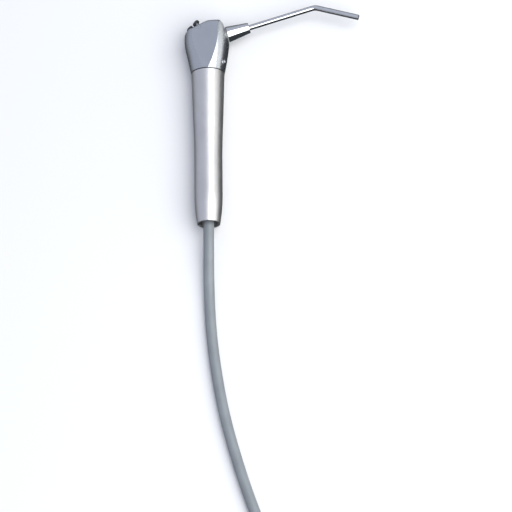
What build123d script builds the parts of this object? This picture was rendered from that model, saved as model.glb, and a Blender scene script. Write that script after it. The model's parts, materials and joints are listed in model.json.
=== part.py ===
from build123d import *
import os
from math import cos, pi, radians, sin

# Three-way (air and water) dental syringe handpiece with its bent tip and its supply hose,
# lying on its side.  Millimetres.  +Y runs along the handle towards the head, +X towards the
# nozzle and +Z up.  The origin is on the lower side flat, under the handle axis.

# ---- driving dimensions ------------------------------------------------------------------
FLAT_HALF = 9.9              # handle axis to each side flat of the head
SEAM_Y = -18.0               # joint between head and handle, measured from the origin
SEAM_GAP = 0.3               # half the groove at that joint
FIT = 0.05                   # radial clearance of a running fit
SNUG = 0.02                  # radial clearance of parts screwed or pushed together

HEAD_TOP = 31.8              # all head heights are measured up from the seam
TOP_EDGE_ROUND = 2.3
SPIGOT_R = 7.5
SPIGOT_LENGTH = 10.0
SCREW_HEIGHT = 5.9
SCREW_ANGLE = 70.0           # round from the upper flat towards the nozzle side
SCREW_FACE = (10.5, 3.4)     # x and z of the screw's seat from the handle axis
SCREW_HEAD_R = 1.6
SCREW_BODY_R = 1.1
SCREW_DEPTH = 4.5

HANDLE_LENGTH = 96.6
HANDLE_TOP_R = 9.85
HANDLE_GRIP_R = 8.3
HANDLE_RIM_R = 6.75
HANDLE_BORE_R = 5.9
GRIP_START = 54.0            # the straight grip, measured down from the seam
GRIP_END = 78.0

VALVE_TILT = 45.0            # valve axes above the -X direction
VALVE_SPACING = 5.1
VALVE_MIDDLE = (-6.05, 29.1)  # midway between the valve axes: x, height above the seam
MOUTHS = {-1: -0.9, 1: -2.7}  # landing of the lower and the upper valve along its axis
VALVE_TRAVEL = 1.5
VALVE_DEPTH = 10.4
CHAMBER_R = 1.65
STEM_R = 1.0
LAND_R = 1.58
CAP_R = 2.2
CAP_BOTTOM = 3.4             # cap underside with the button up
CAP_THICKNESS = 1.4
CAP_SOCKET = 0.7
PIN_R = 0.9
PIN_DEPTH = 3.3
SPOT_FACE_R = 2.35
BUSH_BODY_R = 2.0
BUSH_BOTTOM = -4.95
BUSH_FLANGE_R = 2.2
BUSH_FLANGE_TOP = 0.6
STEM_SEAL_SECTION = 0.25
LAND_TOP = -5.0              # land of the stem, held up against the bush by the spring
LAND_BOTTOM = -7.0
TAIL_R = 0.6
TAIL_END = -8.6
SPRING_WIRE_R = 0.2
SPRING_R = 1.1
SPRING_TURNS = 4.5

NOZZLE_TILT = 15.4           # nozzle axis above the +X direction
NOZZLE_FACE = (11.2, 25.05)  # where the nozzle axis leaves the head: x, height above the seam
ADAPTER_DEPTH = 6.0
ADAPTER_R = 3.6
SNOUT_R = 2.95
SNOUT_LENGTH = 8.5
BUSH_R = 2.25
COLLAR_START = 0.65
COLLAR_END = 14.3
COLLAR_BASE_R = 4.8
COLLAR_END_R = 3.15
NOZZLE_SEAL_SECTION = 0.3
SEAL_STATIONS = (-4.0, -1.6)

TIP_R = 1.6
TIP_BORE_R = 1.15
TIP_REAR = -4.5
TIP_STRAIGHT = 55.5          # head face to the bend, along the nozzle axis
TIP_BENT = 27.3
TIP_BEND_ANGLE = 32.7
TIP_BEND_R = 7.0
CORE_R = 0.6
CORE_BORE_R = 0.35

LINE_X = 2.3                 # air and water lines, either side of the handle axis
LINE_R = 1.9
BARB_R = 1.1
BARB_SOCKET = 4.0
BARB_LENGTH = 6.0
BARB_LIP_R = 1.3
BARB_BORE_R = 0.7
CHANNEL_R = 0.8
FITTING_HEIGHT = 6.0

HOSE_R = 6.35 / 2
HOSE_FLOOR_Z = 3.2           # hose axis where it lies on the surface
HOSE_START = 70.0            # inside the handle, measured down from the seam
COIL_MEAN_R = 35.0
COIL_TURN_STEP = 2 * HOSE_R
COIL_ENTRY = 29.0            # degrees round the coil where the hose runs into it
COIL_EXIT = -75.0
TIE_THICKNESS = 0.6
TIE_WIDTH = 10.0
TIE_ANGLE = 150.0
FERRULE_R = 4.1
FERRULE_LENGTH = 12.0
CONNECTOR_R = 4.6
CONNECTOR_LENGTH = 16.0
STUB_R = 1.6
STUB_BORE_R = 0.9
STUB_LENGTH = 9.0
STUB_SOCKET = 4.0
STUB_ROOT_R = 1.3            # the part of the stub pressed into the connector
STUB_OFFSET = 2.3

# ---- shared helpers ----------------------------------------------------------------------
AXIS_Z = FLAT_HALF
UPWARD = (Align.CENTER, Align.CENTER, Align.MIN)


def head_point(x, height):
    """A point in the plane of symmetry, its height measured up from the seam."""
    return Vector(x, SEAM_Y + height, AXIS_Z)


def disc(plane, radius, start, end):
    """A cylinder about the plane's normal, from start to end along it."""
    return plane * Pos(0, 0, start) * Cylinder(radius, end - start, align=UPWARD)


def cone(plane, start_radius, end_radius, start, end):
    """A cone about the plane's normal, from start to end along it."""
    return plane * Pos(0, 0, start) * Cone(start_radius, end_radius, end - start, align=UPWARD)


def ring(plane, outer, inner, start, end):
    """A straight sleeve about the plane's normal."""
    return disc(plane, outer, start, end) - disc(plane, inner, start, end)


def seal(plane, major, section, height):
    """An O-ring about the plane's normal."""
    return plane * Pos(0, 0, height) * Torus(major, section)


def save(name, *solids):
    shape = solids[0] if len(solids) == 1 else Compound(children=list(solids))
    shape.label = name
    export_step(shape, f"parts/{name}.step")


# The handle axis, its normal pointing up towards the head, starting at the seam.
HANDLE_PLANE = Plane(head_point(0, 0), x_dir=(1, 0, 0), z_dir=(0, 1, 0))

NOZZLE_DIR = Vector(cos(radians(NOZZLE_TILT)), sin(radians(NOZZLE_TILT)), 0)
NOZZLE_PLANE = Plane(head_point(*NOZZLE_FACE), x_dir=(0, 0, 1), z_dir=NOZZLE_DIR)

VALVE_DIR = Vector(-cos(radians(VALVE_TILT)), sin(radians(VALVE_TILT)), 0)
VALVE_ACROSS = Vector(sin(radians(VALVE_TILT)), cos(radians(VALVE_TILT)), 0)


def valve_plane(side):
    """Datum on a valve's axis, its normal pointing out.  side is -1 lower, 1 upper."""
    mouth = head_point(*VALVE_MIDDLE) + VALVE_ACROSS * (side * VALVE_SPACING / 2)
    return Plane(mouth, x_dir=(0, 0, 1), z_dir=VALVE_DIR)


# ---- head --------------------------------------------------------------------------------
# Oval sections of the head: height, centre x, half width in X, half depth in Z.
HEAD_SECTIONS = [
    (SEAM_GAP, 0.0, 10.0, 9.95),
    (5.0, -0.1, 11.0, 10.4),
    (11.0, -0.2, 12.1, 11.1),
    (17.0, -0.45, 13.1, 11.75),
    (22.0, -0.5, 13.5, 12.1),
    (36.0, -0.5, 13.6, 12.1),
]


def head_profile():
    """Side outline of the head: back corner, domed top, rounded front and nozzle face."""
    face = Vector(-sin(radians(NOZZLE_TILT)), cos(radians(NOZZLE_TILT)), 0)
    nozzle_x, nozzle_height = NOZZLE_FACE
    to_top = (HEAD_TOP - nozzle_height) / face.Y
    to_bulge = -7.3
    points = [
        (-17, -5),
        (-17, 21.0),
        (-13.7, 24.7),
        (-4.3, 29.4),
        (0.8, HEAD_TOP - 0.1),
        (nozzle_x + face.X * to_top, HEAD_TOP),
        (nozzle_x + face.X * to_bulge, nozzle_height + face.Y * to_bulge),
        (17, 17.8),
        (17, -5),
    ]
    rounds = {2: 2.0, 3: 12.0, 4: 9.0, 5: 4.0}
    outline = make_face(Polyline(*points, close=True))
    for index, radius in rounds.items():
        corner = Vector(*points[index])
        nearest = outline.vertices().sort_by_distance(corner)[0]
        outline = fillet(nearest, radius)
    return outline


def screw_plane():
    normal = Vector(sin(radians(SCREW_ANGLE)), 0, cos(radians(SCREW_ANGLE)))
    x, z = SCREW_FACE
    seat = head_point(x, SCREW_HEIGHT) + Vector(0, 0, z)
    return Plane(seat, x_dir=(0, 1, 0), z_dir=normal)


def pin_plane():
    centre = head_point(*VALVE_MIDDLE) - VALVE_DIR * PIN_DEPTH
    return Plane(centre, x_dir=(1, 0, 0), z_dir=(0, 0, 1))


def head_blank():
    """Oval body between two side flats, with the side outline's edges rounded."""
    ovals = []
    for height, centre_x, half_width, half_depth in HEAD_SECTIONS:
        level = Plane(head_point(centre_x, height), x_dir=(1, 0, 0), z_dir=(0, 1, 0))
        ovals.append(level * Ellipse(half_width, half_depth))
    body = loft(ovals)
    slab = extrude(Pos(0, SEAM_Y, AXIS_Z) * head_profile(), FLAT_HALF, both=True)
    flat_edges = slab.edges().filter_by_position(Axis.Z, -0.01, 0.01)
    flat_edges += slab.edges().filter_by_position(Axis.Z, 2 * FLAT_HALF - 0.01, 2 * FLAT_HALF + 0.01)
    return body & fillet(flat_edges, TOP_EDGE_ROUND)


def head_block():
    body = head_blank()
    body += disc(HANDLE_PLANE, SPIGOT_R - SNUG, -SPIGOT_LENGTH, SEAM_GAP)
    for side in (-1, 1):
        mouth = valve_plane(side)
        body -= disc(mouth, SPOT_FACE_R, MOUTHS[side], 6)
        body -= disc(mouth, BUSH_BODY_R, BUSH_BOTTOM, 0)
        body -= disc(mouth, CHAMBER_R, -VALVE_DEPTH, 0)
        channel_top = 20.5 if side < 0 else 22.5
        body -= disc(line_plane(side), CHANNEL_R, -SPIGOT_LENGTH, channel_top)
        body -= disc(line_plane(side), BARB_R, -SPIGOT_LENGTH, -SPIGOT_LENGTH + BARB_SOCKET)
    body -= disc(NOZZLE_PLANE, ADAPTER_R, -ADAPTER_DEPTH, 1)
    body -= disc(NOZZLE_PLANE, CORE_R + FIT, -ADAPTER_DEPTH - 3.5, -ADAPTER_DEPTH)
    body -= disc(pin_plane(), PIN_R, -FLAT_HALF - 1, FLAT_HALF + 1)
    body -= disc(screw_plane(), SCREW_HEAD_R + 0.2, 0, 4)
    body -= disc(screw_plane(), SCREW_BODY_R, -SCREW_DEPTH, 0)
    return body


def head_screw():
    """Domed socket screw that locks the head on the handle's spigot."""
    place = screw_plane()
    dome_radius = 3.2
    dome_height = 1.1
    head = disc(place, SCREW_HEAD_R, 0, dome_height)
    head &= place * Pos(0, 0, dome_height - dome_radius) * Sphere(dome_radius)
    body = disc(place, SCREW_BODY_R, -SCREW_DEPTH, 0)
    socket = extrude(place * Pos(0, 0, 0.1) * RegularPolygon(0.9, 6), 2)
    return head + body - socket


def valve_pin():
    """Cross pin that locks both guide bushes, seated in a notch in the side of each."""
    recess = 0.25
    pin = disc(pin_plane(), PIN_R, -FLAT_HALF + recess, FLAT_HALF - recess)
    return chamfer(pin.edges().filter_by(GeomType.CIRCLE), 0.15)


def seam_ring():
    return ring(HANDLE_PLANE, 9.3, SPIGOT_R, -SEAM_GAP, SEAM_GAP)


# ---- handle ------------------------------------------------------------------------------
def handle_shell():
    """Turned tube: flared top, straight grip and a rim drawn in by one large arc."""
    def at(radius, drop):
        return (radius, SEAM_Y - drop)

    flare = Spline(
        at(HANDLE_TOP_R, SEAM_GAP), at(9.4, 15), at(8.92, 30), at(HANDLE_GRIP_R, GRIP_START),
        tangents=((-0.03, -1), (0, -1)),
    )
    grip = Line(flare @ 1, at(HANDLE_GRIP_R, GRIP_END))
    taper = TangentArc(grip @ 1, at(HANDLE_RIM_R, HANDLE_LENGTH), tangent=(0, -1))
    inside = Polyline(
        taper @ 1,
        at(HANDLE_BORE_R, HANDLE_LENGTH),
        at(HANDLE_BORE_R, SPIGOT_LENGTH + 2),
        at(SPIGOT_R, SPIGOT_LENGTH + 2),
        at(SPIGOT_R, SEAM_GAP),
        flare @ 0,
    )
    section = make_face([flare, grip, taper, inside])
    shell = revolve(section, Axis.Y)
    rim_edges = shell.edges().filter_by(GeomType.CIRCLE).group_by(Axis.Y)[0]
    return Pos(0, 0, AXIS_Z) * fillet(rim_edges, 0.3)


# ---- valves ------------------------------------------------------------------------------
def button_cap(side):
    mouth = valve_plane(side)
    cap = disc(mouth, CAP_R, CAP_BOTTOM, CAP_BOTTOM + CAP_THICKNESS)
    top = cap.edges().filter_by(GeomType.CIRCLE).sort_by_distance(mouth.origin)[-1]
    cap = fillet(top, 0.45)
    return cap - disc(mouth, STEM_R, CAP_BOTTOM, CAP_BOTTOM + CAP_SOCKET)


def valve_stem(side):
    mouth = valve_plane(side)
    stem = disc(mouth, STEM_R, LAND_TOP, CAP_BOTTOM + CAP_SOCKET)
    stem += disc(mouth, LAND_R, LAND_BOTTOM, LAND_TOP)
    stem += disc(mouth, TAIL_R, TAIL_END, LAND_BOTTOM)
    middle = (LAND_TOP + LAND_BOTTOM) / 2
    groove_floor = CHAMBER_R - FIT - 2 * STEM_SEAL_SECTION
    return stem - ring(mouth, 3, groove_floor, middle - 0.3, middle + 0.3)


def stem_seal(side):
    middle = (LAND_TOP + LAND_BOTTOM) / 2
    return seal(valve_plane(side), CHAMBER_R - FIT - STEM_SEAL_SECTION, STEM_SEAL_SECTION, middle)


def guide_bush(side):
    """Flanged bush seated in the valve's bore; the stem slides in it."""
    mouth = valve_plane(side)
    bush = disc(mouth, BUSH_BODY_R, BUSH_BOTTOM, MOUTHS[side])
    flange = disc(mouth, BUSH_FLANGE_R, MOUTHS[side], BUSH_FLANGE_TOP)
    top = flange.edges().filter_by(GeomType.CIRCLE).sort_by_distance(mouth.origin - VALVE_DIR * 9)[-1]
    bush += chamfer(top, 0.2)
    bush -= disc(mouth, STEM_R + FIT, BUSH_BOTTOM, BUSH_FLANGE_TOP)
    return bush - disc(pin_plane(), PIN_R, -FLAT_HALF, FLAT_HALF)


def return_spring(side):
    mouth = valve_plane(side)
    low = -VALVE_DEPTH + SPRING_WIRE_R
    length = LAND_BOTTOM - SPRING_WIRE_R - low
    path = Helix(length / SPRING_TURNS, length, SPRING_R)
    section = Plane(path @ 0, z_dir=path % 0) * Circle(SPRING_WIRE_R)
    return mouth * Pos(0, 0, low) * sweep(section, path, is_frenet=True)


# ---- air and water lines inside the handle -----------------------------------------------
def line_plane(side):
    return Plane(head_point(side * LINE_X, 0), x_dir=(1, 0, 0), z_dir=(0, 1, 0))


def barb(plane, root, direction, socket):
    """A nipple with one barbed lip: root is its seat, direction 1 points up the handle."""
    def span(a, b):
        return sorted((root + direction * a, root + direction * b))

    body = disc(plane, BARB_R, *span(-socket, BARB_LENGTH))
    lip_start, lip_end = 3.5, BARB_LENGTH
    radii = (BARB_LIP_R, BARB_R) if direction > 0 else (BARB_R, BARB_LIP_R)
    body += cone(plane, *radii, *span(lip_start, lip_end))
    return body - disc(plane, BARB_BORE_R, *span(-socket, BARB_LENGTH))


def head_barb(side):
    return barb(line_plane(side), -SPIGOT_LENGTH, -1, BARB_SOCKET)


def hose_adapter():
    """Two-port fitting on the hose's end, with a nipple for each line."""
    top = -HOSE_START + FITTING_HEIGHT
    body = disc(HANDLE_PLANE, HOSE_R, -HOSE_START, top)
    for side in (-1, 1):
        body += barb(line_plane(side), top, 1, 0)
        body -= disc(line_plane(side), BARB_BORE_R, -HOSE_START, top)
    return body


def inner_line(side):
    """Flexible tube from the hose fitting to the barb under the head."""
    bottom = -HOSE_START + FITTING_HEIGHT
    tube = disc(line_plane(side), LINE_R, bottom, -SPIGOT_LENGTH)
    tube -= disc(line_plane(side), BARB_R, bottom, -SPIGOT_LENGTH)
    return tube - head_barb(side) - hose_adapter()


def hose_gland():
    """Rubber grommet that holds the hose in the handle's bore."""
    top = -HOSE_START + FITTING_HEIGHT
    gland = ring(HANDLE_PLANE, HANDLE_BORE_R - SNUG, HOSE_R + SNUG, -HOSE_START - 12, top)
    return gland


# ---- nozzle ------------------------------------------------------------------------------
def nozzle_adapter():
    """Threaded seat of the tip, screwed into the head, with a snout for the collar."""
    seat = disc(NOZZLE_PLANE, ADAPTER_R, -ADAPTER_DEPTH, 0)
    seat += disc(NOZZLE_PLANE, SNOUT_R, 0, SNOUT_LENGTH)
    seat -= disc(NOZZLE_PLANE, BUSH_R + FIT, -ADAPTER_DEPTH + 0.5, SNOUT_LENGTH)
    seat -= disc(NOZZLE_PLANE, CORE_R + FIT, -ADAPTER_DEPTH, SNOUT_LENGTH)
    groove_r = BUSH_R + FIT + 2 * NOZZLE_SEAL_SECTION + SNUG
    for station in SEAL_STATIONS:
        seat -= disc(NOZZLE_PLANE, groove_r, station - 0.35, station + 0.35)
    return seat


def nozzle_seals():
    major = BUSH_R + FIT + NOZZLE_SEAL_SECTION
    return [seal(NOZZLE_PLANE, major, NOZZLE_SEAL_SECTION, s) for s in SEAL_STATIONS]


def thrust_washer():
    return ring(NOZZLE_PLANE, COLLAR_BASE_R - 0.15, SNOUT_R + FIT, 0.1, COLLAR_START - 0.05)


def collar_nut():
    """Tapered chrome collar screwed on the snout; it holds the tip in place."""
    length_bore = SNOUT_LENGTH + 0.6
    collar = cone(NOZZLE_PLANE, COLLAR_BASE_R, COLLAR_END_R, COLLAR_START, COLLAR_END)
    ends = collar.edges().filter_by(GeomType.CIRCLE)
    collar = fillet(ends, 0.35)
    collar -= disc(NOZZLE_PLANE, SNOUT_R + FIT, COLLAR_START, length_bore)
    return collar - disc(NOZZLE_PLANE, TIP_R + 2 * FIT, length_bore, COLLAR_END)


def tip_bush():
    return ring(NOZZLE_PLANE, BUSH_R, TIP_R + 0.03, -ADAPTER_DEPTH + 0.7, SNOUT_LENGTH - 0.3)


def tip_path(rear, end_offset):
    """Centre line of the tip from rear, along the nozzle axis, to end_offset short of its end."""
    bend = NOZZLE_PLANE.origin + NOZZLE_DIR * TIP_STRAIGHT
    bent = radians(NOZZLE_TILT - TIP_BEND_ANGLE)
    end = bend + Vector(cos(bent), sin(bent), 0) * (TIP_BENT - end_offset)
    start = NOZZLE_PLANE.origin + NOZZLE_DIR * rear
    return FilletPolyline(start, bend, end, radius=TIP_BEND_R)


def bent_tube(outer, inner, rear, end_offset):
    path = tip_path(rear, end_offset)
    section = Plane(path @ 0, z_dir=path % 0) * (Circle(outer) - Circle(inner))
    return sweep(section, path)


def tip_tube():
    return bent_tube(TIP_R, TIP_BORE_R, TIP_REAR, 0)


def tip_core():
    """Water tube inside the air tube, reaching back into the seat in the adapter."""
    return bent_tube(CORE_R, CORE_BORE_R, -ADAPTER_DEPTH + 0.1, 0.4)


def core_spacers():
    """Notched rings that keep the water tube central in the air tube."""
    spacers = []
    for station in (1.0, 42.0):
        spacer = ring(NOZZLE_PLANE, TIP_BORE_R, CORE_R, station, station + 1.0)
        notch = NOZZLE_PLANE * Pos(0, 1.0, station + 0.5) * Box(0.6, 0.6, 2)
        spacers.append(spacer - notch)
    return spacers


# ---- supply hose -------------------------------------------------------------------------
# Route of the free hose, out of the handle, down to the surface and on to the coil.
HOSE_ROUTE = [
    (0.0, SEAM_Y - HOSE_START, AXIS_Z),
    (0.0, -120.0, AXIS_Z),
    (-0.3, -152.0, HOSE_FLOOR_Z),
    (2.4, -186.0, HOSE_FLOOR_Z),
    (7.9, -224.0, HOSE_FLOOR_Z),
    (14.9, -254.5, HOSE_FLOOR_Z),
    (26.2, -292.0, HOSE_FLOOR_Z),
    (38.6, -322.6, HOSE_FLOOR_Z),
    (50.2, -343.6, HOSE_FLOOR_Z + 0.6),
]
COIL_OUTER_R = COIL_MEAN_R + COIL_TURN_STEP          # centre line of the outermost turn
COIL_TOP_Z = HOSE_FLOOR_Z + TIE_THICKNESS + COIL_TURN_STEP


def round_the_coil(radius, angle, z=0.0):
    return COIL_CENTRE + Vector(radius * cos(radians(angle)), radius * sin(radians(angle)), z)


COIL_CENTRE = Vector(HOSE_ROUTE[-1][0], HOSE_ROUTE[-1][1], 0)
COIL_CENTRE -= Vector(cos(radians(COIL_ENTRY)), sin(radians(COIL_ENTRY)), 0) * COIL_OUTER_R


def tail_heading(turned):
    """Direction of the hose's end, turned so many degrees on from where it leaves the coil."""
    heading = radians(COIL_EXIT - 90 - turned)
    return Vector(cos(heading), sin(heading), 0)


def tail_route():
    """The hose's far end: off the top of the coil and down to the surface beside it."""
    leave = round_the_coil(COIL_OUTER_R, COIL_EXIT, COIL_TOP_Z)
    clear = leave + tail_heading(3) * 17 + Vector(0, 0, -0.4)
    down = clear + tail_heading(10) * 21 + Vector(0, 0, CONNECTOR_R + 0.1 - clear.Z)
    end = down + tail_heading(17) * 18
    return [leave, clear, down, end]


def arc_radii(points):
    """Each corner's radius: 0.45 of the shorter run over the tangent of half the turn."""
    radii = []
    for before, corner, after in zip(points, points[1:], points[2:]):
        run_in = Vector(corner) - Vector(before)
        run_out = Vector(after) - Vector(corner)
        half_turn = radians(run_in.get_angle(run_out) / 2)
        radii.append(0.45 * min(run_in.length, run_out.length) / (sin(half_turn) / cos(half_turn)))
    return radii


def hose_tube(points):
    """A free stretch of hose: straight runs joined by tangent arcs."""
    path = FilletPolyline(*points, radius=arc_radii(points))
    return sweep(Plane(path @ 0, z_dir=path % 0) * Circle(HOSE_R), path)


def save_hose(name, points):
    """Writes a stretch of hose and prints its radii, its length and its volume's ratio to that."""
    radii = arc_radii(points)
    length = FilletPolyline(*points, radius=radii).length
    tube = hose_tube(points)
    ratio = tube.volume / (pi * HOSE_R ** 2 * length)
    print(name, [round(radius) for radius in radii], round(length, 1), round(ratio, 4))
    save(name, tube)


def tie_box(grow):
    """Block across the coil's turns where the tie goes round them."""
    width_r = 3 * COIL_TURN_STEP + 2 * grow
    height = 2 * COIL_TURN_STEP + 2 * grow
    block = Box(width_r, TIE_WIDTH, height, align=(Align.CENTER, Align.CENTER, Align.MIN))
    place = Location(round_the_coil(COIL_MEAN_R, TIE_ANGLE, TIE_THICKNESS - grow), (0, 0, TIE_ANGLE))
    return place * block


def coil_tie():
    return tie_box(TIE_THICKNESS) - tie_box(0)


def hose_coil():
    """Outer shape of the wound hose, six turns side by side and on each other."""
    outer = COIL_OUTER_R + HOSE_R
    inner = COIL_MEAN_R - COIL_TURN_STEP - HOSE_R
    height = 2 * COIL_TURN_STEP + TIE_THICKNESS
    base = Plane(COIL_CENTRE, x_dir=(1, 0, 0), z_dir=(0, 0, 1))
    winding = ring(base, outer, inner, 0, height)
    winding = fillet(winding.edges().filter_by(GeomType.CIRCLE), 2.5)
    return winding - coil_tie()


# ---- far end of the hose -----------------------------------------------------------------
def far_plane():
    """End of the hose, its normal pointing on out of it."""
    before, end = tail_route()[-2:]
    along = (end - before).normalized()
    return Plane(end, x_dir=along.cross(Vector(0, 0, 1)), z_dir=along)


def hose_ferrule():
    """Crimped sleeve round the last of the hose, cut clear of it."""
    sleeve = disc(far_plane(), FERRULE_R, -FERRULE_LENGTH, 0)
    edges = sleeve.edges().filter_by(GeomType.CIRCLE)
    return chamfer(edges, 0.4) - hose_tube(tail_route())


def hose_connector():
    body = disc(far_plane(), CONNECTOR_R, 0, CONNECTOR_LENGTH)
    body = chamfer(body.edges().filter_by(GeomType.CIRCLE), 0.5)
    for side in (-1, 1):
        body -= disc(stub_plane(side), STUB_ROOT_R, CONNECTOR_LENGTH - STUB_SOCKET, CONNECTOR_LENGTH)
        body -= disc(stub_plane(side), STUB_BORE_R, 0, CONNECTOR_LENGTH - STUB_SOCKET)
    return body


def stub_plane(side):
    end = far_plane()
    return Plane(end.origin + end.x_dir * (side * STUB_OFFSET), x_dir=end.x_dir, z_dir=end.z_dir)


def stub(side):
    """Pipe that the unit's tubing is pushed on, its thinner root pressed into the connector."""
    place = stub_plane(side)
    root = CONNECTOR_LENGTH - STUB_SOCKET
    tip = CONNECTOR_LENGTH + STUB_LENGTH
    pipe = disc(place, STUB_R, CONNECTOR_LENGTH, tip)
    pipe += disc(place, STUB_ROOT_R, root, CONNECTOR_LENGTH)
    return pipe - disc(place, STUB_BORE_R, root, tip)


# ---- write every node --------------------------------------------------------------------
os.makedirs("parts", exist_ok=True)

save("head_block", head_block())
save("head_screw", head_screw())
save("valve_pin", valve_pin())
save("seam_ring", seam_ring())
save("handle_shell", handle_shell())

for side_name, side in (("lower", -1), ("upper", 1)):
    save(f"{side_name}_button_cap", button_cap(side))
    save(f"{side_name}_valve_stem", valve_stem(side))
    save(f"{side_name}_stem_seal", stem_seal(side))
    save(f"{side_name}_guide_bush", guide_bush(side))
    save(f"{side_name}_return_spring", return_spring(side))

for line_name, side in (("water", -1), ("air", 1)):
    save(f"{line_name}_barb", head_barb(side))
    save(f"{line_name}_line", inner_line(side))
    save(f"{line_name}_stub", stub(side))
save("hose_adapter", hose_adapter())
save("hose_gland", hose_gland())

save("nozzle_adapter", nozzle_adapter())
save("nozzle_seals", *nozzle_seals())
save("thrust_washer", thrust_washer())
save("collar_nut", collar_nut())
save("tip_bush", tip_bush())
save("tip_tube", tip_tube())
save("tip_core", tip_core())
save("core_spacers", *core_spacers())

save_hose("hose", HOSE_ROUTE)
save("hose_coil", hose_coil())
save_hose("hose_tail", tail_route())
save("coil_tie", coil_tie())
save("hose_ferrule", hose_ferrule())
save("hose_connector", hose_connector())
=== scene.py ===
import json
from math import cos, floor, pi, radians, sin, tan

import bmesh
import bpy
from mathutils import Matrix, Vector


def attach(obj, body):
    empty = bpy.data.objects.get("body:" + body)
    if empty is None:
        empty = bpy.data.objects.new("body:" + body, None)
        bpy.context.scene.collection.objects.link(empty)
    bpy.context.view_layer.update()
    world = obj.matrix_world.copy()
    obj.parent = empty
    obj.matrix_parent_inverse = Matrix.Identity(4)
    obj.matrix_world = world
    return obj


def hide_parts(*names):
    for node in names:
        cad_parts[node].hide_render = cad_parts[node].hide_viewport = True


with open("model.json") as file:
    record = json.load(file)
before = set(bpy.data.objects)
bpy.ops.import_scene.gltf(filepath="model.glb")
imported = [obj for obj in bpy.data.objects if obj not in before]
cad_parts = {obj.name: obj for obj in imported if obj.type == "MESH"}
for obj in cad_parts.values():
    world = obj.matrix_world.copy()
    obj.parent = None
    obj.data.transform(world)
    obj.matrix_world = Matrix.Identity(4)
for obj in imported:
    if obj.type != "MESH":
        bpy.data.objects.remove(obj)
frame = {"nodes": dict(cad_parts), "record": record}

# Looks of the three-way dental syringe handpiece, lying on its side on a pale surface with
# the spare hose wound up beyond the camera's view.  Metres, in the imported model's frame.

SCENE = bpy.context.scene
NODES = frame["nodes"]
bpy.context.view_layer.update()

# ---- camera ------------------------------------------------------------------------------
LOOK_AT = Vector((0.0278, -0.1362, 0.0099))
CAMERA_TILT = radians(21.5)       # from straight above, back towards the hose
CAMERA_LEAN = radians(6.4)        # from straight above, towards the nozzle
CAMERA_ROLL = radians(0.54)
CAMERA_DISTANCE = 2.4
SENSOR = 36.0
VIEW_WIDTH = 0.3000               # what the image spans at LOOK_AT
CAMERA_REACH = 20.0


def make_camera():
    back = Vector((
        cos(CAMERA_TILT) * sin(CAMERA_LEAN),
        -sin(CAMERA_TILT),
        cos(CAMERA_TILT) * cos(CAMERA_LEAN),
    ))
    level = Vector((cos(CAMERA_LEAN), 0, -sin(CAMERA_LEAN)))
    upright = back.cross(level)
    right = level * cos(CAMERA_ROLL) - upright * sin(CAMERA_ROLL)
    up = upright * cos(CAMERA_ROLL) + level * sin(CAMERA_ROLL)
    camera = bpy.data.objects.new("camera", bpy.data.cameras.new("camera"))
    SCENE.collection.objects.link(camera)
    axes = Matrix((right, up, back)).transposed()
    camera.matrix_world = Matrix.Translation(LOOK_AT + back * CAMERA_DISTANCE) @ axes.to_4x4()
    camera.data.sensor_width = SENSOR
    camera.data.lens = SENSOR * CAMERA_DISTANCE / VIEW_WIDTH
    camera.data.clip_end = CAMERA_REACH
    SCENE.camera = camera


# ---- hose --------------------------------------------------------------------------------
HOSE_DIAMETER = 0.00635
HOSE_FLOOR_Z = 0.0032
TIE_THICKNESS = 0.0006
HOSE_STEPS_ALONG = 10             # drawn steps from one point of the route to the next
HOSE_STEPS_ROUND = 8              # extra drawn steps in each half of the round section

# The CAD route's points, the middle ones moved by up to 2 mm.
HOSE_ROUTE = [
    (0.0, -0.088, 0.0099),
    (0.0, -0.120, 0.0099),
    (-0.0010, -0.152, HOSE_FLOOR_Z),
    (0.0006, -0.186, HOSE_FLOOR_Z),
    (0.0060, -0.224, HOSE_FLOOR_Z),
    (0.0133, -0.2545, HOSE_FLOOR_Z),
    (0.0248, -0.292, HOSE_FLOOR_Z),
    (0.0378, -0.3226, HOSE_FLOOR_Z),
    (0.0502, -0.3436, HOSE_FLOOR_Z + TIE_THICKNESS),
]
# From the top of the coil down to the surface and into the connector.
TAIL_ROUTE = [
    (0.008108, -0.407122, 0.00975),
    (-0.012812, -0.408953, 0.0047),
    (-0.030801, -0.408324, 0.0047),
]

COIL_MEAN_R = 0.035
COIL_OUTER_R = COIL_MEAN_R + HOSE_DIAMETER
COIL_INNER_R = COIL_MEAN_R - HOSE_DIAMETER
COIL_LOW_Z = HOSE_FLOOR_Z + TIE_THICKNESS
COIL_HIGH_Z = COIL_LOW_Z + HOSE_DIAMETER
COIL_ENTRY = 29.0                 # degrees round the coil where the hose comes in
COIL_EXIT = -75.0
COIL_WHOLE_TURNS = 5
COIL_LAST_TURN = 0.5              # how much of the top outer turn is wound
POINTS_PER_TURN = 18
CHANGE_OVER = 0.16                # share of a turn spent moving over to the next one
COIL_CENTRE = Vector(HOSE_ROUTE[-1]) - COIL_OUTER_R * Vector((
    cos(radians(COIL_ENTRY)), sin(radians(COIL_ENTRY)), 0
))
COIL_CENTRE.z = 0.0
# Radius and height of each turn in the order they are wound.
COIL_TURNS = [
    (COIL_OUTER_R, COIL_LOW_Z),
    (COIL_MEAN_R, COIL_LOW_Z),
    (COIL_INNER_R, COIL_LOW_Z),
    (COIL_INNER_R, COIL_HIGH_Z),
    (COIL_MEAN_R, COIL_HIGH_Z),
    (COIL_OUTER_R, COIL_HIGH_Z),
]


def ease(x):
    """0 below 0, 1 above 1 and a smooth step between."""
    x = min(max(x, 0.0), 1.0)
    return x * x * (3 - 2 * x)


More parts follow.
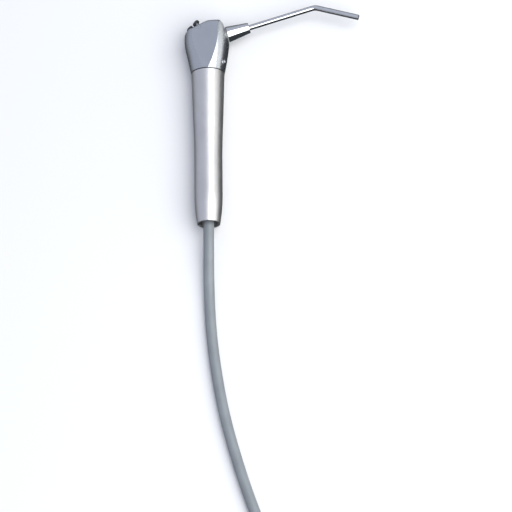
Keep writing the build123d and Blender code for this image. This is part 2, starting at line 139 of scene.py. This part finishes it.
def coil_points():
    """Control points of the wound hose, clockwise, each turn a diameter from the last."""
    turned = 360 * COIL_WHOLE_TURNS + COIL_ENTRY - COIL_EXIT
    one_turn = (turned / 360 - COIL_LAST_TURN) / (len(COIL_TURNS) - 1)
    count = round(turned / 360 * POINTS_PER_TURN)
    step = radians(turned / count)
    outside = 1 / (0.75 + 0.25 * cos(step))     # the spline runs inside its control points
    points = []
    for index in range(1, count + 1):
        place = index * step / (2 * pi) / one_turn
        turn = min(floor(place), len(COIL_TURNS) - 1)
        following = min(turn + 1, len(COIL_TURNS) - 1)
        share = ease((place - turn - 1 + CHANGE_OVER) / CHANGE_OVER)
        (radius, z), (next_radius, next_z) = COIL_TURNS[turn], COIL_TURNS[following]
        radius = (radius + share * (next_radius - radius)) * outside
        z += share * (next_z - z)
        angle = radians(COIL_ENTRY) - index * step
        points.append(COIL_CENTRE + Vector((radius * cos(angle), radius * sin(angle), z)))
    return points


def make_hose():
    curve = bpy.data.curves.new("supply_hose", "CURVE")
    curve.dimensions = "3D"
    route = HOSE_ROUTE + coil_points() + TAIL_ROUTE
    spline = curve.splines.new("NURBS")
    spline.points.add(len(route) - 1)
    for point, place in zip(spline.points, route):
        point.co = (*place, 1.0)
        point.radius = HOSE_DIAMETER / 2
    spline.order_u = 3
    spline.use_endpoint_u = True
    spline.resolution_u = HOSE_STEPS_ALONG
    curve.bevel_depth = 1.0           # times each point's radius
    curve.bevel_resolution = HOSE_STEPS_ROUND
    hose = bpy.data.objects.new("supply_hose", curve)
    SCENE.collection.objects.link(hose)
    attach(hose, "root")
    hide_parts("hose", "hose_coil", "hose_tail")
    return hose


# ---- tie round the coil ------------------------------------------------------------------
TIE_ANGLE = radians(150.0)
TIE_WIDTH = 0.010
TIE_HALF_ACROSS = 1.5 * HOSE_DIAMETER + TIE_THICKNESS / 2
TIE_HALF_UP = HOSE_DIAMETER + TIE_THICKNESS / 2
TIE_CORNER_R = HOSE_DIAMETER / 2 + TIE_THICKNESS / 2
TIE_START = -0.0052               # where the strap begins on the top, across the bundle
TIE_OVERLAP = 0.0070
TIE_LIFT_RUN = 0.0030             # length over which the loose end climbs on the first turn
TIE_STEP = 0.0004
TIE_EDGE_ROUND = 0.00015
TIE_EDGE_STEPS = 2


def tie_outline():
    """Straight and rounded stretches of the strap's loop as (length, turn) pairs."""
    across = 2 * (TIE_HALF_ACROSS - TIE_CORNER_R)
    up = 2 * (TIE_HALF_UP - TIE_CORNER_R)
    corner = (TIE_CORNER_R * pi / 2, pi / 2)
    first = across / 2 - TIE_START
    last = across / 2 + TIE_START
    return [(first, 0), corner, (up, 0), corner, (across, 0), corner, (up, 0), corner, (last, 0)]


def tie_point(distance):
    """Place in (across, up) and outward direction that far along the strap."""
    place = Vector((TIE_START, TIE_HALF_UP))
    heading = 0.0
    for length, turn in tie_outline():
        run = min(distance, length)
        if turn:
            centre = place - Vector((sin(heading), cos(heading))) * TIE_CORNER_R
            heading += turn * run / length
            place = centre + Vector((sin(heading), cos(heading))) * TIE_CORNER_R
        else:
            place = place + Vector((cos(heading), -sin(heading))) * run
        distance -= run
        if distance <= 0:
            break
    return place, Vector((sin(heading), cos(heading)))


def make_tie():
    """Soft strap once round the bundle, its end pressed down over its beginning."""
    once_round = sum(length for length, _ in tie_outline())
    outwards = Vector((cos(TIE_ANGLE), sin(TIE_ANGLE), 0))
    along = Vector((-sin(TIE_ANGLE), cos(TIE_ANGLE), 0))
    middle = COIL_CENTRE + outwards * COIL_MEAN_R
    middle.z = TIE_THICKNESS + HOSE_DIAMETER
    mesh = bmesh.new()
    rows = []
    for index in range(int((once_round + TIE_OVERLAP) / TIE_STEP) + 1):
        distance = index * TIE_STEP
        (across, up), (out_across, out_up) = tie_point(distance % once_round)
        lift = TIE_THICKNESS * ease((distance - once_round + TIE_LIFT_RUN) / TIE_LIFT_RUN)
        normal = outwards * out_across + Vector((0, 0, out_up))
        centre = middle + outwards * across + Vector((0, 0, up)) + normal * lift
        row = []
        for side, face in ((-1, -1), (1, -1), (1, 1), (-1, 1)):
            corner = along * (side * TIE_WIDTH / 2) + normal * (face * TIE_THICKNESS / 2)
            row.append(mesh.verts.new(centre + corner))
        rows.append(row)
    for before, after in zip(rows, rows[1:]):
        for edge in range(4):
            other = (edge + 1) % 4
            mesh.faces.new((before[edge], before[other], after[other], after[edge]))
    mesh.faces.new(rows[0][::-1])
    mesh.faces.new(rows[-1])
    bmesh.ops.recalc_face_normals(mesh, faces=mesh.faces)
    data = bpy.data.meshes.new("hose_tie")
    mesh.to_mesh(data)
    mesh.free()
    tie = bpy.data.objects.new("hose_tie", data)
    SCENE.collection.objects.link(tie)
    edges = tie.modifiers.new("soft edges", "BEVEL")
    edges.width = TIE_EDGE_ROUND
    edges.segments = TIE_EDGE_STEPS
    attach(tie, "root")
    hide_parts("coil_tie")
    return tie


# ---- materials ---------------------------------------------------------------------------
NOISE_RANGE = (0.3, 0.7)          # what most of the noise lies between
METAL_TONES = (0.96, 1.04)
METAL_GRIT_SHARE = 0.4            # the grit's depth, as a share of the tool marks'
PLASTIC_TONES = (0.8, 1.35)
RUBBER_TONES = (0.88, 1.12)
FACING_Z = 0.999                  # the side flats' normals have at least this much Z
RUBBED_ROUGHNESS = (0.20, 0.26)


def new_material(name, colour, roughness, metallic=0.0):
    made = bpy.data.materials.new(name)
    made.use_nodes = True
    shader = made.node_tree.nodes["Principled BSDF"]
    shader.inputs["Base Color"].default_value = (*colour, 1)
    shader.inputs["Roughness"].default_value = roughness
    shader.inputs["Metallic"].default_value = metallic
    return made


def shader_of(made):
    return made.node_tree.nodes["Principled BSDF"]


def even(per_metre):
    """The same number of grains per metre along X, Y and Z."""
    return (per_metre, per_metre, per_metre)


def grain(made, per_metre, detail=3.0):
    """Noise whose grains are 1 / per_metre long along X, Y and Z."""
    tree = made.node_tree
    place = tree.nodes.new("ShaderNodeTexCoord")
    scale = tree.nodes.new("ShaderNodeMapping")
    scale.inputs["Scale"].default_value = per_metre
    noise = tree.nodes.new("ShaderNodeTexNoise")
    noise.inputs["Scale"].default_value = 1.0
    noise.inputs["Detail"].default_value = detail
    tree.links.new(place.outputs["Object"], scale.inputs["Vector"])
    tree.links.new(scale.outputs["Vector"], noise.inputs["Vector"])
    return noise.outputs["Fac"]


def vary_number(made, socket, source, low, high):
    tree = made.node_tree
    spread = tree.nodes.new("ShaderNodeMapRange")
    spread.inputs["From Min"].default_value, spread.inputs["From Max"].default_value = NOISE_RANGE
    spread.inputs["To Min"].default_value = low
    spread.inputs["To Max"].default_value = high
    tree.links.new(source, spread.inputs["Value"])
    tree.links.new(spread.outputs["Result"], shader_of(made).inputs[socket])


def vary_colour(made, source, one, other):
    tree = made.node_tree
    ramp = tree.nodes.new("ShaderNodeValToRGB")
    for element, position, colour in zip(ramp.color_ramp.elements, NOISE_RANGE, (one, other)):
        element.position = position
        element.color = (*colour, 1)
    tree.links.new(source, ramp.inputs["Fac"])
    tree.links.new(ramp.outputs["Color"], shader_of(made).inputs["Base Color"])


def relief(made, source, depth, under=None):
    """Bump of that depth in metres, on top of another bump if one is given."""
    tree = made.node_tree
    bump = tree.nodes.new("ShaderNodeBump")
    bump.inputs["Distance"].default_value = depth
    tree.links.new(source, bump.inputs["Height"])
    if under is not None:
        tree.links.new(under.outputs["Normal"], bump.inputs["Normal"])
    tree.links.new(bump.outputs["Normal"], shader_of(made).inputs["Normal"])
    return bump


def scaled(colour, factor):
    return tuple(channel * factor for channel in colour)


def metal(name, colour, smooth, rough, turned, depth):
    """Metal with fine tool marks, slight smears in its gloss and a slight change of tone."""
    made = new_material(name, colour, rough, metallic=1.0)
    darker, paler = METAL_TONES
    vary_colour(made, grain(made, even(90)), scaled(colour, darker), scaled(colour, paler))
    vary_number(made, "Roughness", grain(made, even(350), detail=5.0), smooth, rough)
    marks = relief(made, grain(made, turned, detail=2.0), depth)
    relief(made, grain(made, even(9000), detail=2.0), depth * METAL_GRIT_SHARE, marks)
    return made


def handle_metal():
    """Satin shell turned on a lathe, so its marks run round the handle."""
    return metal(
        "satin_handle",
        colour=(0.76, 0.755, 0.75),
        smooth=0.38,
        rough=0.46,
        turned=(60, 7000, 60),
        depth=0.0000022,
    )


def head_metal():
    """Satin head whose side flats are rubbed smoother, along the handle."""
    made = metal(
        "satin_head",
        colour=(0.60, 0.63, 0.66),
        smooth=0.26,
        rough=0.31,
        turned=(2600, 500, 2600),
        depth=0.0000009,
    )
    tree = made.node_tree
    surface = tree.nodes.new("ShaderNodeNewGeometry")
    parts = tree.nodes.new("ShaderNodeSeparateXYZ")
    tree.links.new(surface.outputs["True Normal"], parts.inputs["Vector"])
    upright = tree.nodes.new("ShaderNodeMath")
    upright.operation = "ABSOLUTE"
    tree.links.new(parts.outputs["Z"], upright.inputs[0])
    flat = tree.nodes.new("ShaderNodeMath")
    flat.operation = "GREATER_THAN"
    flat.inputs[1].default_value = FACING_Z
    tree.links.new(upright.outputs[0], flat.inputs[0])
    rubbed = tree.nodes.new("ShaderNodeMapRange")
    rubbed.inputs["To Min"].default_value, rubbed.inputs["To Max"].default_value = RUBBED_ROUGHNESS
    tree.links.new(grain(made, (7000, 120, 7000)), rubbed.inputs["Value"])
    choose = tree.nodes.new("ShaderNodeMix")
    tree.links.new(flat.outputs[0], choose.inputs["Factor"])
    roughness = shader_of(made).inputs["Roughness"]
    tree.links.new(roughness.links[0].from_socket, choose.inputs["A"])
    tree.links.new(rubbed.outputs["Result"], choose.inputs["B"])
    tree.links.new(choose.outputs["Result"], roughness)
    return made


def chrome():
    """Plated and polished, with faint smears and hairline wiping marks."""
    return metal(
        "polished_chrome",
        colour=(0.80, 0.81, 0.82),
        smooth=0.05,
        rough=0.11,
        turned=(500, 4000, 500),
        depth=0.0000003,
    )


def steel():
    """Turned and ground steel of the inner pieces."""
    return metal(
        "machined_steel",
        colour=(0.60, 0.61, 0.63),
        smooth=0.20,
        rough=0.32,
        turned=(5000, 900, 5000),
        depth=0.000001,
    )


def brass():
    """Bright turned brass."""
    return metal(
        "turned_brass",
        colour=(0.72, 0.60, 0.36),
        smooth=0.18,
        rough=0.30,
        turned=(7000, 80, 80),
        depth=0.0000015,
    )


def plastic(name, colour, smooth, rough, depth):
    """Moulded plastic with a fine spark-eroded grain and slightly uneven tone."""
    made = new_material(name, colour, rough)
    darker, paler = PLASTIC_TONES
    vary_colour(made, grain(made, even(260)), scaled(colour, darker), scaled(colour, paler))
    vary_number(made, "Roughness", grain(made, even(900)), smooth, rough)
    relief(made, grain(made, even(6000)), depth)
    return made


def rubber(name, colour, smooth, rough):
    """Extruded or moulded rubber: slow ripples, fine bloom and a soft sheen."""
    made = new_material(name, colour, rough)
    darker, paler = RUBBER_TONES
    patches = grain(made, (70, 45, 70), detail=6.0)
    vary_colour(made, patches, scaled(colour, darker), scaled(colour, paler))
    vary_number(made, "Roughness", grain(made, even(400), detail=5.0), smooth, rough)
    ripples = relief(made, grain(made, (320, 90, 320)), depth=0.00006)
    relief(made, grain(made, even(5000)), depth=0.000008, under=ripples)
    shader_of(made).inputs["Sheen Weight"].default_value = 0.12
    shader_of(made).inputs["Sheen Roughness"].default_value = 0.4
    return made


def woven():
    """Black strap in a coarse weave, fuzzy and slightly faded."""
    made = new_material("woven_tie", (0.02, 0.02, 0.022), 0.85)
    tree = made.node_tree
    place = tree.nodes.new("ShaderNodeTexCoord")
    yarns = []
    for direction in ("X", "Y", "Z"):
        yarn = tree.nodes.new("ShaderNodeTexWave")
        yarn.bands_direction = direction
        yarn.inputs["Scale"].default_value = 320.0
        yarn.inputs["Distortion"].default_value = 0.6
        yarn.inputs["Detail"].default_value = 1.0
        tree.links.new(place.outputs["Object"], yarn.inputs["Vector"])
        yarns.append(yarn)
    cloth = yarns[0].outputs["Fac"]
    for yarn in yarns[1:]:
        both = tree.nodes.new("ShaderNodeMath")
        both.operation = "MULTIPLY"
        tree.links.new(cloth, both.inputs[0])
        tree.links.new(yarn.outputs["Fac"], both.inputs[1])
        cloth = both.outputs[0]
    fuzz = relief(made, grain(made, even(4000), detail=4.0), depth=0.00005)
    relief(made, cloth, depth=0.00020, under=fuzz)
    vary_colour(made, grain(made, even(500)), (0.012, 0.012, 0.014), (0.045, 0.045, 0.05))
    shader_of(made).inputs["Sheen Weight"].default_value = 0.5
    return made


def paint(hose, tie):
    """Gives every piece and every carried-over CAD node its finished material."""
    by_slot = {
        "satin_metal": handle_metal(),
        "polished_chrome": chrome(),
        "steel": steel(),
        "brass": brass(),
        "button_plastic": plastic("button_plastic", (0.045, 0.048, 0.052), 0.32, 0.46, 0.000006),
        "bearing_plastic": plastic("bearing_plastic", (0.22, 0.225, 0.23), 0.35, 0.5, 0.000006),
        "seal_rubber": rubber("seal_rubber", (0.022, 0.022, 0.022), 0.5, 0.65),
        "hose_rubber": rubber("hose_rubber", (0.25, 0.275, 0.295), 0.32, 0.44),
        "line_tube": rubber("line_tube", (0.46, 0.50, 0.54), 0.3, 0.42),
        "tie_fabric": woven(),
    }
    head = head_metal()
    for part in frame["record"]["subparts"]:
        finish = by_slot[part["material_slot"]]
        if part["node"] == "head_block":
            finish = head
        for slot in NODES[part["node"]].material_slots:
            slot.material = finish
    hose.data.materials.append(by_slot["hose_rubber"])
    tie.data.materials.append(by_slot["tie_fabric"])


# ---- surface, light and surroundings -----------------------------------------------------
FLOOR_HALF = 4.0
FLOOR_COLOUR = (0.90, 0.905, 0.91)
FLOOR_ROUGHNESS = 0.8
BRIGHT_SIDE = (-0.6, 0.35, 0.8)
# The studio's tones, from the side away from BRIGHT_SIDE (0) to BRIGHT_SIDE itself (1).
STUDIO_TONES = [
    (0.35, (0.045, 0.050, 0.056)),
    (0.50, (0.10, 0.11, 0.12)),
    (0.65, (0.26, 0.27, 0.28)),
    (0.85, (0.49, 0.52, 0.62)),
]


def make_floor():
    data = bpy.data.meshes.new("floor")
    corners = [(-1, -1), (1, -1), (1, 1), (-1, 1)]
    data.from_pydata([(x * FLOOR_HALF, y * FLOOR_HALF, 0) for x, y in corners], [], [(0, 1, 2, 3)])
    surface = bpy.data.objects.new("floor", data)
    SCENE.collection.objects.link(surface)
    data.materials.append(new_material("pale_surface", FLOOR_COLOUR, FLOOR_ROUGHNESS))
    surface.visible_glossy = False


def soft_box(name, lean, tilt, distance, width, length, radiance):
    """Area light that many radians from overhead towards +X and towards -Y."""
    out = Vector((tan(lean), -tan(tilt), 1)).normalized()
    side = Vector((0, 1, 0)).cross(out).normalized()
    light = bpy.data.lights.new(name, "AREA")
    light.shape = "RECTANGLE"
    light.size = width
    light.size_y = length
    light.energy = radiance * pi * width * length
    holder = bpy.data.objects.new(name, light)
    axes = Matrix((side, out.cross(side), out)).transposed()
    holder.matrix_world = Matrix.Translation(LOOK_AT + out * distance) @ axes.to_4x4()
    holder.visible_camera = False
    SCENE.collection.objects.link(holder)


def make_world():
    """Studio round the object: blue-grey overhead, dim low down on the nozzle's side."""
    world = bpy.data.worlds.new("studio")
    world.use_nodes = True
    SCENE.world = world
    tree = world.node_tree
    place = tree.nodes.new("ShaderNodeTexCoord")
    weigh = tree.nodes.new("ShaderNodeVectorMath")
    weigh.operation = "DOT_PRODUCT"
    weigh.inputs[1].default_value = BRIGHT_SIDE
    tree.links.new(place.outputs["Generated"], weigh.inputs[0])
    spread = tree.nodes.new("ShaderNodeMapRange")
    spread.inputs["From Min"].default_value = -1.0
    spread.inputs["From Max"].default_value = 1.0
    tree.links.new(weigh.outputs["Value"], spread.inputs["Value"])
    ramp = tree.nodes.new("ShaderNodeValToRGB")
    elements = ramp.color_ramp.elements
    elements.remove(elements[1])
    elements[0].position, darkest = STUDIO_TONES[0]
    elements[0].color = (*darkest, 1)
    for position, colour in STUDIO_TONES[1:]:
        elements.new(position).color = (*colour, 1)
    tree.links.new(spread.outputs["Result"], ramp.inputs["Fac"])
    tree.links.new(ramp.outputs["Color"], tree.nodes["Background"].inputs["Color"])


make_camera()
supply_hose = make_hose()
hose_tie = make_tie()
paint(supply_hose, hose_tie)
make_floor()
soft_box(
    "key",
    lean=radians(32),
    tilt=radians(15),
    distance=1.6,
    width=1.6,
    length=2.3,
    radiance=3.0,
)
soft_box(
    "low fill",
    lean=radians(76),
    tilt=0.0,
    distance=1.6,
    width=0.8,
    length=1.8,
    radiance=1.2,
)
make_world()
SCENE.view_settings.view_transform = "Standard"
